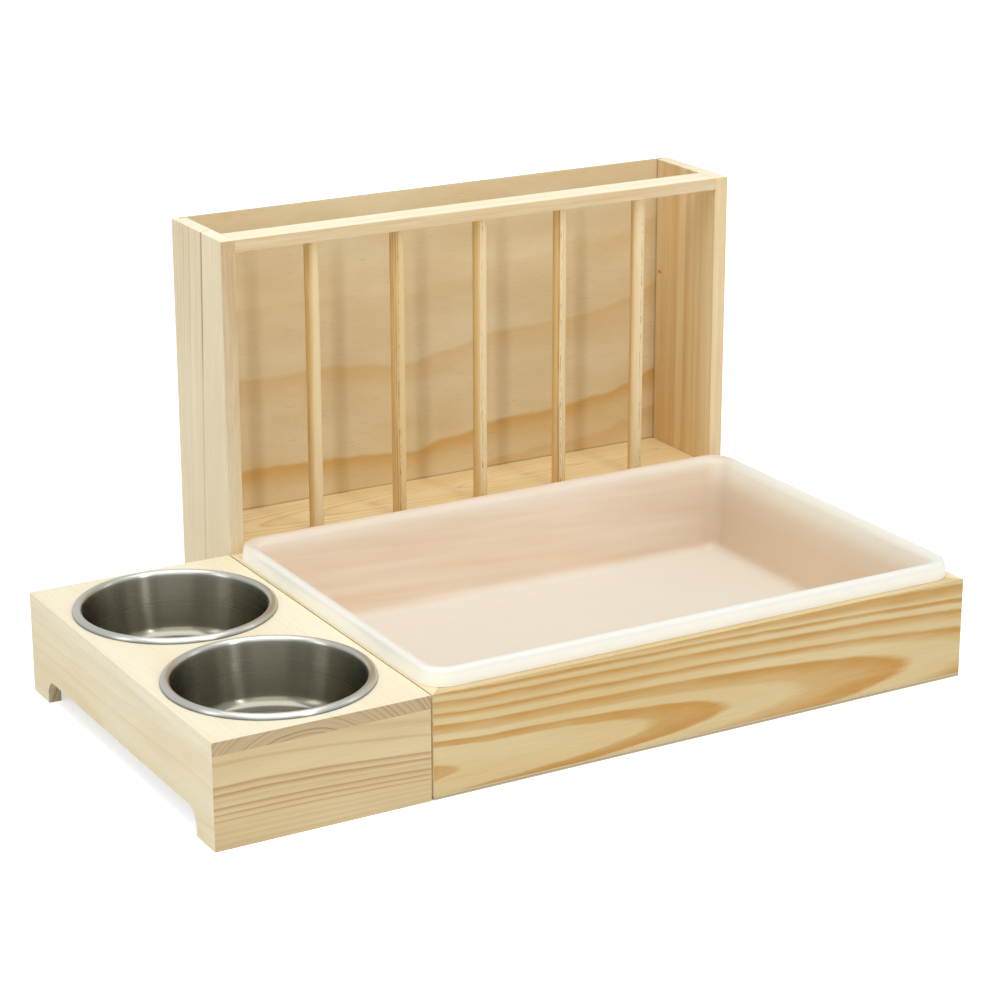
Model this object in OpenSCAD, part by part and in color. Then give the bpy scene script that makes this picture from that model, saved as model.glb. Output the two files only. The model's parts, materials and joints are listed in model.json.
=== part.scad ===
// Hay feeder box: a litter frame with a lift-out tray, a hay rack behind it
// and a bowl stand beside it. Millimetres, +Z up. The origin is on the ground,
// in the middle of the whole set's footprint. The front faces -Y.

/* [Stock] */
// Thickness of the boards of the bowl stand and the litter frame
board_t = 10; // [9:0.5:12]
// Thickness of the boards of the hay rack
rack_board_t = 12; // [11:0.5:18]
// Thickness of the plywood base and back panels
ply_t = 3; // [2.5:0.5:5]

/* [Litter frame] */
// Width of the litter frame and of the hay rack behind it
frame_w = 464; // [380:2:560]
// Depth of the litter frame and of the bowl stand
frame_d = 332; // [280:2:400]
// Height of the litter frame and of the bowl stand
frame_h = 80; // [74:1:110]

/* [Bowl stand] */
// Width of the bowl stand
stand_w = 166; // [140:1:220]
// Gap between the bowl stand and the litter frame
unit_gap = 1.5; // [0.5:0.5:6]
// Thickness of the stand's top board
stand_top_t = 10; // [8:0.5:16]
// Length of each foot that the side cut-outs leave
foot_l = 30; // [22:1:60]
// Height of the side cut-outs
cutout_h = 19.5; // [12:0.5:34]
// Corner radius of the side cut-outs
cutout_r = 12; // [3:1:12]

/* [Bowls] */
// Least distance from a bowl's rim to the stand's side edges
bowl_side = 6.25; // [4:0.25:30]
// Distance from a bowl's rim to the stand's front or back edge
bowl_edge = 8.25; // [4:0.25:40]
// Least gap between the rims of the two bowls
bowl_space = 8.5; // [3:0.5:40]
// Depth inside the bowl, from the top of its rim
bowl_depth = 50; // [30:1:60]
// Diameter of the round wire-like roll of the rim
bowl_roll_d = 7.3; // [6:0.1:9]
// How far the wall leans in between the rim and the floor
bowl_lean = 6; // [0:1:12]
// Inner radius between the bowl's wall and floor
bowl_floor_r = 9; // [4:1:14]
// Thickness of the bowl's sheet steel
bowl_sheet = 0.8; // [0.5:0.1:1.2]
// Gap all round between a bowl and its hole
bowl_play = 0.7; // [0.4:0.1:1.5]

/* [Litter tray] */
// Distance from the frame's side faces in to the tray's skirt
tray_inset = 1.7; // [0.5:0.1:2]
// Distance from the frame's front face in to the tray's skirt
tray_front_inset = 6.5; // [2:0.5:6.5]
// Distance from the frame's back face in to the tray's skirt
tray_back_inset = 2.6; // [2:0.2:5]
// Height of the tray's rim above the frame
tray_rim_h = 13; // [10:0.5:20]
// Depth inside the tray, from the top of its rim
tray_depth = 81; // [50:0.5:84]
// Wall thickness of the tray
tray_wall = 2; // [1.5:0.25:2.5]
// Outer corner radius of the tray's skirt
tray_corner_r = 20; // [14:1:40]
// Corner radius of the tray's flat floor
floor_corner_r = 6; // [3:1:12]
// Radius between the tray's wall and its floor
tray_floor_r = 10; // [5:1:16]
// Radius along the outer top edge of the rim
tray_rim_r = 3.5; // [3:0.25:4.5]
// How far the skirt leans out between its top and its lower edge
skirt_lean = 1; // [0:0.25:1.5]
// Draft of the tray's walls in degrees
tray_draft = 4; // [1:0.5:6]
// Least gap between the tray's wall and the frame's boards
tray_play = 0.7; // [0.4:0.1:3]

/* [Hay rack] */
// Height of the hay rack
rack_h = 332; // [220:2:420]
// Depth of the hay rack behind the litter frame
rack_d = 92; // [70:1:140]
// Height of the top face of the rack's floor
rack_floor_z = 82; // [79:1:110]
// Depth of the top rail, front to back
rail_w = 25; // [20:1:34]
// Thickness of the top rail
rail_t = 10; // [9:0.5:18]
// Diameter of the round hay bars
bar_d = 11.5; // [8:0.5:14]
// Distance from the rack's front to the middle of the bars
bar_front = 11; // [9:0.5:12]
// Depth of the blind holes that the bars stand in
bar_seat = 6; // [3:0.5:7]
// Depth of the rebate that holds each side of the back panel
rebate_w = 6; // [4:0.5:7]

/* [Pins] */
// Diameter of the glued wooden joint pins
joint_pin_d = 6; // [4:0.5:6]
// Depth of a joint pin in the end of a board
joint_pin_end = 14; // [8:1:18]
// Depth of a joint pin in the face of a board
joint_pin_face = 6.5; // [4:0.5:7]
// Shank diameter of the panel pins
nail_d = 1.4; // [1:0.1:2]
// Length of the panel pins
nail_l = 16; // [12:1:24]
// Head diameter of the panel pins
nail_head_d = 3.6; // [2.5:0.1:4.5]
// Head thickness of the panel pins
nail_head_t = 0.6; // [0.4:0.1:1]

/* [Fits] */
// Height that a lift-out piece stands above its seat
seat_gap = 0.2; // [0:0.1:0.4]
// Gap all round between the back panel and its rebate
panel_play = 0.5; // [0.2:0.1:1]

/* [Hidden] */
// Colours of the bare materials
pine = "#E8D5A9";
pine_band = "#DDBE86";
plywood = "#D8BD8C";
steel = "#A9A9A4";
nail_steel = "#8E8F90";
milky = "#EFE9DE";

// The set's outline, and the corner that each unit starts from
total_w = stand_w + unit_gap + frame_w;
total_d = frame_d + rack_d;
stand_x = -total_w / 2;
frame_x = stand_x + stand_w + unit_gap;
front_y = -total_d / 2;
rack_y = front_y + frame_d;
back_y = total_d / 2;

// Bowl stand, with the largest pair of round bowls that its width and depth leave room for
stand_side_h = frame_h - stand_top_t;
bowl_x = stand_x + stand_w / 2;
bowl_mid_y = front_y + frame_d / 2;
bowl_rim_d = min(stand_w - 2 * bowl_side, (frame_d - 2 * bowl_edge - bowl_space) / 2);
bowl_pitch = frame_d - 2 * bowl_edge - bowl_rim_d;
bowl_wall_r = bowl_rim_d / 2 - bowl_roll_d + bowl_sheet;
bowl_hole_d = 2 * (bowl_wall_r + bowl_play);

// Litter tray: insets in its section are measured inwards from the skirt's lower edge
tray_l = frame_w - 2 * tray_inset;
tray_w = frame_d - tray_front_inset - tray_back_inset;
tray_seat_z = frame_h + seat_gap;
tray_top_z = tray_seat_z + tray_rim_h;
tray_floor_z = tray_top_z - tray_depth;
tray_crest = skirt_lean + tray_rim_r;
tray_lip_r = board_t + tray_play + tray_wall - tray_inset - tray_crest;
tray_lip_z = tray_top_z - tray_lip_r;
tray_bend_z = tray_floor_z + tray_floor_r;
tray_bend = tray_crest + (tray_lip_r + tray_floor_r) * cos(tray_draft)
    + tan(tray_draft) * (tray_lip_z - tray_bend_z + (tray_lip_r + tray_floor_r) * sin(tray_draft));

// Hay rack
rack_inner_w = frame_w - 2 * rack_board_t;
rack_inner_d = rack_d - ply_t;
bar_n = 5;
bar_y = rack_y + bar_front;
bar_bottom_z = rack_floor_z - bar_seat;
bar_top_z = rack_h - rail_t + bar_seat;
bar_space = (rack_inner_w - bar_n * bar_d) / (bar_n + 1);
bar_pitch = bar_space + bar_d;
rack_floor_mid_z = rack_floor_z - rack_board_t / 2;

// Places of the joint pins and panel pins
stand_pin_ys = [for (f = [0.08, 0.5, 0.92]) front_y + f * frame_d];
rack_pin_ys = [for (f = [0.3, 0.72]) rack_y + f * rack_d];
floor_pin_z = (rack_floor_z - rack_board_t + frame_h) / 2;
floor_pin_xs = [for (f = [0.15, 0.4, 0.6, 0.85]) frame_x + f * frame_w];
base_pin_xs = [for (f = [0.07, 0.35, 0.65, 0.93]) frame_x + f * frame_w];
base_pin_ys = [for (f = [0.25, 0.5, 0.75]) front_y + f * frame_d];
back_pin_zs = [for (f = [0.05, 0.28, 0.51, 0.73, 0.95]) f * rack_h];

skin = 1;
bowl_steps = 8;
bend_steps = 5;
corner_steps = 8;
$fn = 96;

// Shared shapes

// A board with its low corner at a point
module board(corner, size) {
    translate(corner) cube(size);
}

// A board along X whose ends are mitred inwards at 45 degrees
module mitred_board(length, thick, height) {
    linear_extrude(height)
        polygon([[0, 0], [length, 0], [length - thick, thick], [thick, thick]]);
}

// Four mitred boards make a box; side 0 is the front, then right, back and left
module box_side(side, w, d, thick, height) {
    corners = [[0, 0], [w, 0], [w, d], [0, d]];
    lengths = [w, d, w, d];
    translate(corners[side]) rotate(90 * side) mitred_board(lengths[side], thick, height);
}

// The low opening between two feet, with rounded upper corners, along Y
module foot_cutout(x) {
    open_l = frame_d - 2 * foot_l;
    translate([x - skin, front_y + foot_l, 0]) rotate([90, 0, 90])
        linear_extrude(board_t + 2 * skin) {
            translate([0, -skin]) square([open_l, cutout_h - cutout_r + skin]);
            translate([cutout_r, -skin]) square([open_l - 2 * cutout_r, cutout_h + skin]);
            for (y = [cutout_r, open_l - cutout_r])
                translate([y, cutout_h - cutout_r]) circle(cutout_r);
        }
}

// Bores and pins

// The stand's joint pins, upright between the top board and the side boards
module stand_pins() {
    for (x = [stand_x + board_t / 2, stand_x + stand_w - board_t / 2], y = stand_pin_ys)
        translate([x, y, stand_side_h - joint_pin_end])
            cylinder(d = joint_pin_d, h = joint_pin_end + joint_pin_face);
}

// The rack's joint pins: floor and rail to the sides, and floor to the frame
module rack_pins() {
    ends = [for (y = rack_pin_ys) [y, rack_floor_mid_z], [rack_y + rail_w / 2, rack_h - rail_t / 2]];
    pin_l = joint_pin_end + joint_pin_face;
    for (e = ends) {
        translate([frame_x + rack_board_t - joint_pin_face, e[0], e[1]]) rotate([0, 90, 0])
            cylinder(d = joint_pin_d, h = pin_l);
        translate([frame_x + frame_w - rack_board_t - joint_pin_end, e[0], e[1]]) rotate([0, 90, 0])
            cylinder(d = joint_pin_d, h = pin_l);
    }
    for (x = floor_pin_xs)
        translate([x, rack_y - joint_pin_face, floor_pin_z]) rotate([-90, 0, 0])
            cylinder(d = joint_pin_d, h = pin_l);
}

// One panel pin, its head flush with z = 0 and its shank upwards
module nail() {
    cylinder(d = nail_head_d, h = nail_head_t);
    cylinder(d = nail_d, h = nail_l);
}

// Panel pins that hold the base panel up against the frame's boards
module base_nails() {
    for (x = base_pin_xs, y = [front_y + board_t / 2, rack_y - board_t / 2])
        translate([x, y, 0]) nail();
    for (x = [frame_x + board_t / 2, frame_x + frame_w - board_t / 2], y = base_pin_ys)
        translate([x, y, 0]) nail();
}

// Panel pins that hold the back panel in its rebates and to the rack's floor
module back_nails() {
    side_in = rack_board_t - rebate_w / 2;
    for (x = [frame_x + side_in, frame_x + frame_w - side_in], z = back_pin_zs)
        translate([x, back_y, z]) rotate([90, 0, 0]) nail();
    for (x = floor_pin_xs)
        translate([x, back_y, rack_floor_mid_z]) rotate([90, 0, 0]) nail();
}

// Bowl stand

module stand_top() {
    color(pine) difference() {
        board([stand_x, front_y, stand_side_h], [stand_w, frame_d, stand_top_t]);
        for (s = [-1, 1])
            translate([bowl_x, bowl_mid_y + s * bowl_pitch / 2, stand_side_h - skin])
                cylinder(d = bowl_hole_d, h = stand_top_t + 2 * skin);
        stand_pins();
    }
}

module stand_board(side) {
    translate([stand_x, front_y, 0]) box_side(side, stand_w, frame_d, board_t, stand_side_h);
}

module stand_front_board() {
    color(pine_band) stand_board(0);
}

module stand_back_board() {
    color(pine_band) stand_board(2);
}

module stand_left_side() {
    color(pine) difference() {
        stand_board(3);
        foot_cutout(stand_x);
        stand_pins();
    }
}

module stand_right_side() {
    color(pine) difference() {
        stand_board(1);
        foot_cutout(stand_x + stand_w - board_t);
        stand_pins();
    }
}

module stand_joint_pins() {
    color(pine_band) stand_pins();
}

// Bowls

// Half section of the bowl's skin; t is how far the outline lies outside the inner face
module bowl_outline(t) {
    top_r = bowl_wall_r - bowl_sheet;
    low_r = top_r - bowl_lean;
    floor_z = -bowl_depth + bowl_roll_d / 2;
    bend_z = floor_z + bowl_floor_r;
    bend_x = low_r - bowl_floor_r;
    polygon(concat(
        [[0, floor_z - t]],
        [for (i = [0:bowl_steps]) let (a = -90 + 90 * i / bowl_steps)
            [bend_x + (bowl_floor_r + t) * cos(a), bend_z + (bowl_floor_r + t) * sin(a)]],
        [[top_r + t, 0], [0, 0]]));
}

// A bowl hangs by its rolled rim, whose open underside stands on the board
module bowl(y) {
    roll_r = bowl_roll_d / 2;
    translate([bowl_x, y, frame_h + seat_gap]) rotate_extrude() {
        difference() {
            bowl_outline(bowl_sheet);
            bowl_outline(0);
        }
        translate([bowl_rim_d / 2 - roll_r, 0]) difference() {
            circle(roll_r);
            circle(roll_r - bowl_sheet);
            translate([-bowl_roll_d, -bowl_roll_d]) square([2 * bowl_roll_d, bowl_roll_d]);
        }
    }
}

module bowl_front() {
    color(steel) bowl(bowl_mid_y - bowl_pitch / 2);
}

module bowl_rear() {
    color(steel) bowl(bowl_mid_y + bowl_pitch / 2);
}

// Litter frame

module frame_board(side) {
    translate([frame_x, front_y, ply_t])
        box_side(side, frame_w, frame_d, board_t, frame_h - ply_t);
}

module frame_front_board() {
    color(pine_band) difference() {
        frame_board(0);
        base_nails();
    }
}

module frame_back_board() {
    color(pine) difference() {
        frame_board(2);
        base_nails();
        rack_pins();
    }
}

module frame_left_board() {
    color(pine) difference() {
        frame_board(3);
        base_nails();
    }
}

module frame_right_board() {
    color(pine) difference() {
        frame_board(1);
        base_nails();
    }
}

module base_panel() {
    color(plywood) difference() {
        board([frame_x, front_y, 0], [frame_w, frame_d, ply_t]);
        base_nails();
    }
}

module base_panel_pins() {
    color(nail_steel) base_nails();
}

// Litter tray

// Points of an arc in the tray's section: inset runs inwards, z upwards
function section_arc(inset, z, r, from, to) =
    [for (i = [0:bend_steps]) let (a = from + (to - from) * i / bend_steps)
        [inset + r * cos(a), z + r * sin(a)]];

// The tray's section: the floor's underside, up the outside, over the rim, down to the floor
function tray_section() =
    let (rim_z = tray_top_z - tray_rim_r)
    concat(
        section_arc(tray_bend, tray_bend_z, tray_floor_r + tray_wall, 270, 180 + tray_draft),
        section_arc(tray_crest, tray_lip_z, tray_lip_r - tray_wall, tray_draft, 90),
        section_arc(tray_crest, rim_z, tray_rim_r - tray_wall, 90, 180),
        [[tray_wall, tray_seat_z], [0, tray_seat_z]],
        section_arc(tray_crest, rim_z, tray_rim_r, 180, 90),
        section_arc(tray_crest, tray_lip_z, tray_lip_r, 90, tray_draft),
        section_arc(tray_bend, tray_bend_z, tray_floor_r, 180 + tray_draft, 270)
    );

// One ring of the tray: a rectangle whose corners are tighter the further in it lies
function tray_ring(inset, z) =
    let (r = tray_corner_r - (tray_corner_r - floor_corner_r) * inset / tray_bend)
    [for (c = [0:3], i = [0:corner_steps])
        let (
            a = 180 + 90 * c + 90 * i / corner_steps,
            x = (c == 0 || c == 3) ? inset + r : tray_l - inset - r,
            y = (c < 2) ? inset + r : tray_w - inset - r
        )
        [x + r * cos(a), y + r * sin(a), z]];

module litter_tray() {
    section = tray_section();
    rings = len(section);
    n = 4 * (corner_steps + 1);
    points = [for (p = section) each tray_ring(p[0], p[1])];
    skin_faces = [for (k = [0:rings - 2], i = [0:n - 1])
        let (a = k * n + i, b = k * n + (i + 1) % n)
        each [[a, b + n, b], [a, a + n, b + n]]];
    ends = [[for (i = [0:n - 1]) i], [for (i = [n - 1:-1:0]) (rings - 1) * n + i]];
    color(milky) translate([frame_x + tray_inset, front_y + tray_front_inset, 0])
        polyhedron(points, concat(skin_faces, ends), convexity = 6);
}

// Hay rack

// A side board with a rebate along its inner back edge; side is 0 on the left and 1 on the right
module rack_side(side) {
    outer_x = side == 0 ? frame_x : frame_x + frame_w - rack_board_t;
    rebate_x = side == 0 ? frame_x + rack_board_t - rebate_w : outer_x - skin;
    difference() {
        board([outer_x, rack_y, 0], [rack_board_t, rack_d, rack_h]);
        board([rebate_x, back_y - ply_t, -skin],
              [rebate_w + skin, ply_t + skin, rack_h + 2 * skin]);
        rack_pins();
        back_nails();
    }
}

module rack_left_side() {
    color(pine) rack_side(0);
}

module rack_right_side() {
    color(pine) rack_side(1);
}

module rack_back_panel() {
    panel_w = rack_inner_w + 2 * (rebate_w - panel_play);
    color(plywood) difference() {
        board([frame_x + (frame_w - panel_w) / 2, back_y - ply_t, 0], [panel_w, ply_t, rack_h]);
        back_nails();
    }
}

module back_panel_pins() {
    color(nail_steel) back_nails();
}

// Blind holes or the bars that stand in them
module hay_bar(i) {
    translate([frame_x + rack_board_t + bar_space + bar_d / 2 + (i - 1) * bar_pitch, bar_y, bar_bottom_z])
        cylinder(d = bar_d, h = bar_top_z - bar_bottom_z);
}

module rack_floor() {
    color(pine) difference() {
        board([frame_x + rack_board_t, rack_y, rack_floor_z - rack_board_t],
              [rack_inner_w, rack_inner_d, rack_board_t]);
        for (i = [1:bar_n]) hay_bar(i);
        rack_pins();
        back_nails();
    }
}

module rack_top_rail() {
    color(pine) difference() {
        board([frame_x + rack_board_t, rack_y, rack_h - rail_t], [rack_inner_w, rail_w, rail_t]);
        for (i = [1:bar_n]) hay_bar(i);
        rack_pins();
    }
}

module rack_joint_pins() {
    color(pine_band) rack_pins();
}

stand_top();
stand_front_board();
stand_back_board();
stand_left_side();
stand_right_side();
stand_joint_pins();
bowl_front();
bowl_rear();
frame_front_board();
frame_back_board();
frame_left_board();
frame_right_board();
base_panel();
base_panel_pins();
litter_tray();
rack_left_side();
rack_right_side();
rack_back_panel();
back_panel_pins();
rack_floor();
rack_top_rail();
rack_joint_pins();
for (i = [1:bar_n])
    color(pine_band) hay_bar(i);
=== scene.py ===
# %% [markdown]
# # A hay feeder box, dressed in Blender
#
# The object is a low pine litter frame with a lift-out plastic tray, a hay rack that
# stands behind it, and a small stand with two steel bowls beside it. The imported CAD
# model is loaded first and fixes every size and place. Each step below then gives one
# part its real surface: eased board edges, moulded plastic, spun steel and wood grain.

# %% Load the fixed frame
import json
import math

import bmesh
import bpy
from mathutils import Euler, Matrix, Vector


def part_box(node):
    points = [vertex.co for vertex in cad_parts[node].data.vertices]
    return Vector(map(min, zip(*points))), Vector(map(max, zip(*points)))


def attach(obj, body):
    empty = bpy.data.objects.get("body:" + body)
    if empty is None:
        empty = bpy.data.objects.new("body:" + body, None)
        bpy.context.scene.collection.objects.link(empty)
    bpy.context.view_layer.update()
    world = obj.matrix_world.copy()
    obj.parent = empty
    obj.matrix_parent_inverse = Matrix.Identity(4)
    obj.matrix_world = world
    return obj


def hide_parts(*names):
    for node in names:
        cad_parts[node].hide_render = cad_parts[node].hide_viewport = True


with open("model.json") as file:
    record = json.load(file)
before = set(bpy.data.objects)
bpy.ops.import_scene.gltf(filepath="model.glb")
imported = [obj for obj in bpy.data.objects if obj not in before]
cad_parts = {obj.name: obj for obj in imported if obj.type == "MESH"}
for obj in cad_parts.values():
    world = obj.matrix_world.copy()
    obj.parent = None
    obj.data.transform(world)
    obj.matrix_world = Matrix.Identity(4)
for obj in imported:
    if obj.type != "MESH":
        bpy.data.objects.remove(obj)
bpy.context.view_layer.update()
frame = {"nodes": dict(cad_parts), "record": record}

# %% [markdown]
# ## Helpers for modelling by hand
#
# Operators act on whatever is selected, so each helper first clears the selection.
# A board starts as a cube primitive that is stretched between two corners. Its place is
# then applied, which puts the object back at the origin with its shape in the mesh.

# %% Selection and blocks
MM = 0.001


def only(obj):
    """Leaves one object selected and active."""
    if bpy.context.object and bpy.context.object.mode != "OBJECT":
        bpy.ops.object.mode_set(mode="OBJECT")
    bpy.ops.object.select_all(action="DESELECT")
    if obj:
        obj.select_set(True)
        bpy.context.view_layer.objects.active = obj


def settle(obj, name):
    """Names an object and moves its place into its mesh."""
    only(obj)
    bpy.ops.object.transform_apply(location=True, rotation=True, scale=True)
    obj.name = obj.data.name = name
    return obj


def block(name, low, high):
    """A cube primitive stretched between two corners, in metres."""
    only(None)
    low, high = Vector(low), Vector(high)
    bpy.ops.mesh.primitive_cube_add(size=1, location=(low + high) / 2)
    obj = bpy.context.object
    obj.scale = high - low
    return settle(obj, name)


def rod(name, centre, diameter, length, vertices=48, turn=(0, 0, 0)):
    """A cylinder primitive along Z, or turned, its place applied."""
    only(None)
    bpy.ops.mesh.primitive_cylinder_add(
        vertices=vertices, radius=diameter / 2, depth=length, location=centre, rotation=turn
    )
    return settle(bpy.context.object, name)


def apply(obj, kind, **settings):
    """Adds a modifier with these settings and applies it."""
    only(obj)
    modifier = obj.modifiers.new(kind.title(), kind)
    for key, value in settings.items():
        setattr(modifier, key, value)
    bpy.ops.object.modifier_apply(modifier=modifier.name)
    return obj


# %% [markdown]
# ## Cutting, mitring and easing
#
# A joiner saws a board, cuts its openings and then breaks the sharp edges with
# sandpaper. The same three steps work here: a bisect for the saw, a boolean with a
# cutter for the openings, and a small bevel for the sanded edge. The bevel matters more
# than it looks, because its thin highlight is what makes an edge read as real wood.


# %% Saw, cut and ease
def saw(obj, point, away):
    """Cuts a mesh by a plane, closes the cut and drops the side that away points to."""
    only(obj)
    bpy.ops.object.mode_set(mode="EDIT")
    bpy.ops.mesh.select_all(action="SELECT")
    bpy.ops.mesh.bisect(plane_co=point, plane_no=away, use_fill=True, clear_outer=True)
    bpy.ops.object.mode_set(mode="OBJECT")
    return obj


def cut(obj, *cutters):
    """Takes cutters away from a piece and deletes them."""
    for cutter in cutters:
        apply(obj, "BOOLEAN", operation="DIFFERENCE", solver="EXACT", object=cutter)
        bpy.data.objects.remove(cutter)
    return obj


def bevel_edges(obj, chosen, width, segments):
    """Rounds the edges whose two ends both pass a test."""
    only(obj)
    bpy.ops.object.mode_set(mode="EDIT")
    bpy.ops.mesh.select_mode(type="EDGE")
    mesh = bmesh.from_edit_mesh(obj.data)
    for edge in mesh.edges:
        edge.select_set(all(chosen(v.co) for v in edge.verts))
    bmesh.update_edit_mesh(obj.data)
    bpy.ops.mesh.bevel(offset=width, segments=segments)
    bpy.ops.object.mode_set(mode="OBJECT")
    return obj


def ease(obj, width=0.7 * MM, angle=35, segments=3):
    """Sands the sharp edges, then shades them so that the flat faces stay flat."""
    apply(
        obj,
        "BEVEL",
        width=width,
        segments=segments,
        limit_method="ANGLE",
        angle_limit=math.radians(angle),
        miter_outer="MITER_ARC",
    )
    only(obj)
    bpy.ops.object.shade_smooth()
    apply(obj, "WEIGHTED_NORMAL", keep_sharp=True, weight=80)
    return obj


EASE = 0.7 * MM
MITRE_EASE = 0.35 * MM


# %% [markdown]
# ## The boards of the two boxes
#
# The bowl stand and the litter frame are both four boards mitred at the corners, so no
# end grain shows at a corner. Each board takes its corners from its own CAD node. The
# outer corner of each end is where the saw plane goes through, at 45 degrees.


# %% Mitred boards
def mitred(node, inward):
    """A board between its CAD corners with both ends sawn at 45 degrees."""
    low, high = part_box(node)
    inward = Vector(inward)
    board = block(node + "_eased", low, high)
    along = Vector((abs(inward.y), abs(inward.x), 0))
    for sign in (-1, 1):
        reach = [inward[i] * -1 + along[i] * sign for i in range(3)]
        corner = [high[i] if reach[i] > 0 else low[i] for i in range(3)]
        saw(board, corner, along * sign + inward)
    return board


boards = {}
SIDES = {"front": (0, 1, 0), "back": (0, -1, 0), "left": (1, 0, 0), "right": (-1, 0, 0)}
for side, inward in SIDES.items():
    boards["frame_" + side + "_board"] = mitred("frame_" + side + "_board", inward)
for side in ("front", "back"):
    boards["stand_" + side + "_board"] = mitred("stand_" + side + "_board", SIDES[side])
for side in ("left", "right"):
    boards["stand_" + side + "_side"] = mitred("stand_" + side + "_side", SIDES[side])
print("mitred boards", len(boards))

# %% [markdown]
# ## The low arches and the bowl holes
#
# The stand's side boards have a long low arch between two feet. The cutter is a block
# whose two upper edges are rounded with the arch's radius before it is used. The top
# board gets two round holes, a little wider than the bowls' walls.

# %% Arches and holes
FOOT = 30 * MM
ARCH_HEIGHT = 19.5 * MM
ARCH_RADIUS = 12 * MM
BOWL_RADIUS = 76.75 * MM
BOWL_HOLE = 141.9 * MM
BOWL_X = -232.75 * MM
BOWL_YS = {"front": -127 * MM, "rear": 35 * MM}

for side in ("left", "right"):
    low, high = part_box("stand_" + side + "_side")
    arch = block(
        "arch_cutter",
        (low.x - 0.01, low.y + FOOT, -ARCH_HEIGHT),
        (high.x + 0.01, high.y - FOOT, ARCH_HEIGHT),
    )
    bevel_edges(arch, lambda co: co.z > 0.9 * ARCH_HEIGHT, ARCH_RADIUS, 10)
    cut(boards["stand_" + side + "_side"], arch)

low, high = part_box("stand_top")
top = block("stand_top_eased", low, high)
holes = [
    rod("hole_cutter", (BOWL_X, y, high.z), BOWL_HOLE, 0.05, vertices=128)
    for y in BOWL_YS.values()
]
boards["stand_top"] = cut(top, *holes)
print("stand top corners", [round(v, 4) for v in (*low, *high)])

# %% [markdown]
# ## The hay rack's boards
#
# Two side boards reach the ground. Each has a rebate, a small step along its inner back
# edge, that holds the thin back panel. The floor board and the top rail sit between
# them. The rebate is cut with a block, before the edges are eased.

# %% Rack boards
REBATE = 6 * MM
PLY = 3 * MM
for side, inner in (("left", 1), ("right", -1)):
    low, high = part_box("rack_" + side + "_side")
    edge = high.x if inner > 0 else low.x
    x0, x1 = sorted((edge - inner * REBATE, edge + inner * 0.01))
    step = block("rebate_cutter", (x0, high.y - PLY, -0.01), (x1, high.y + 0.01, high.z + 0.01))
    side_board = block("rack_" + side + "_side_eased", low, high)
    boards["rack_" + side + "_side"] = cut(side_board, step)
for node in ("rack_floor", "rack_top_rail"):
    boards[node] = block(node + "_eased", *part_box(node))

# %% [markdown]
# ## The thin panels and their pins
#
# The base and the back are 3 mm plywood, held by small pins whose heads lie flush with
# the panel. A merged copy of the pins' own CAD mesh cuts their seats, so that each head
# fills its hole exactly and no two faces share one place.


# %% Panels
def pinned_panel(node, pins):
    """A plywood panel with a seat cut for each pin."""
    panel = block(node + "_eased", *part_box(node))
    cutter = frame["nodes"][pins].copy()
    cutter.data = cutter.data.copy()
    bpy.context.scene.collection.objects.link(cutter)
    cutter.parent = None
    only(cutter)
    bpy.ops.object.mode_set(mode="EDIT")
    bpy.ops.mesh.select_all(action="SELECT")
    bpy.ops.mesh.remove_doubles(threshold=1e-6)
    bpy.ops.object.mode_set(mode="OBJECT")
    return cut(panel, cutter)


boards["base_panel"] = pinned_panel("base_panel", "base_panel_pins")
boards["rack_back_panel"] = pinned_panel("rack_back_panel", "back_panel_pins")

for node, board in boards.items():
    thin = node in ("base_panel", "rack_back_panel")
    ease(board, 0.2 * MM if thin else MITRE_EASE if "board" in node else EASE, segments=2 if thin else 3)
print("boards", len(boards), "faces", sum(len(b.data.polygons) for b in boards.values()))

# %% [markdown]
# ## The five hay bars
#
# The bars are turned pine dowels, glued into the floor board and the rail. They could
# be one piece with an array, but each bar needs its own wood, so one dowel is modelled
# with its rounded ends and copied along the rack, each copy with its own mesh.

# %% Dowels
BAR_COUNT = 5
first_low, first_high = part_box("hay_bar_1")
bar_d = first_high.x - first_low.x
centre = (first_low + first_high) / 2
dowel = rod("hay_bar_1_turned", centre, bar_d - 0.1 * MM, first_high.z - first_low.z, vertices=40)
apply(dowel, "BEVEL", width=1 * MM, segments=2, limit_method="ANGLE", angle_limit=math.radians(60))
only(dowel)
bpy.ops.object.shade_smooth_by_angle(angle=math.radians(40))

bars = {}
for i in range(1, BAR_COUNT + 1):
    low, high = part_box(f"hay_bar_{i}")
    bar = dowel if i == 1 else dowel.copy()
    if i > 1:
        bar.data = dowel.data.copy()
        bpy.context.scene.collection.objects.link(bar)
        bar.location.x = low.x - first_low.x
        settle(bar, f"hay_bar_{i}_turned")
    bars[i] = bar
print("bars", len(bars), "diameter mm", round(bar_d * 1000, 2))

# %% [markdown]
# ## The spun steel bowls
#
# A bowl like this is pressed and spun from one sheet. Its section is one line: out over
# the flat floor, up a leaning wall and over a rolled rim. A single vertex is extruded
# from point to point to draw that line, the line is spun round the bowl's axis, and
# Solidify gives the sheet its thickness on the hidden side.

# %% Draw a section and spin it
BOWL_DEPTH = 50 * MM
ROLL = 3.65 * MM
LEAN = 6 * MM
FLOOR_BEND = 9 * MM
SHEET = 0.8 * MM
STEP = 1.5 * MM
ROLL_Z = 80.2 * MM


def arc(cx, cz, radius, start, end, steps):
    """Points on an arc in the section's plane, angles in degrees."""
    turns = [math.radians(start + (end - start) * k / steps) for k in range(steps + 1)]
    return [(cx + radius * math.cos(a), cz + radius * math.sin(a)) for a in turns]


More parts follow.
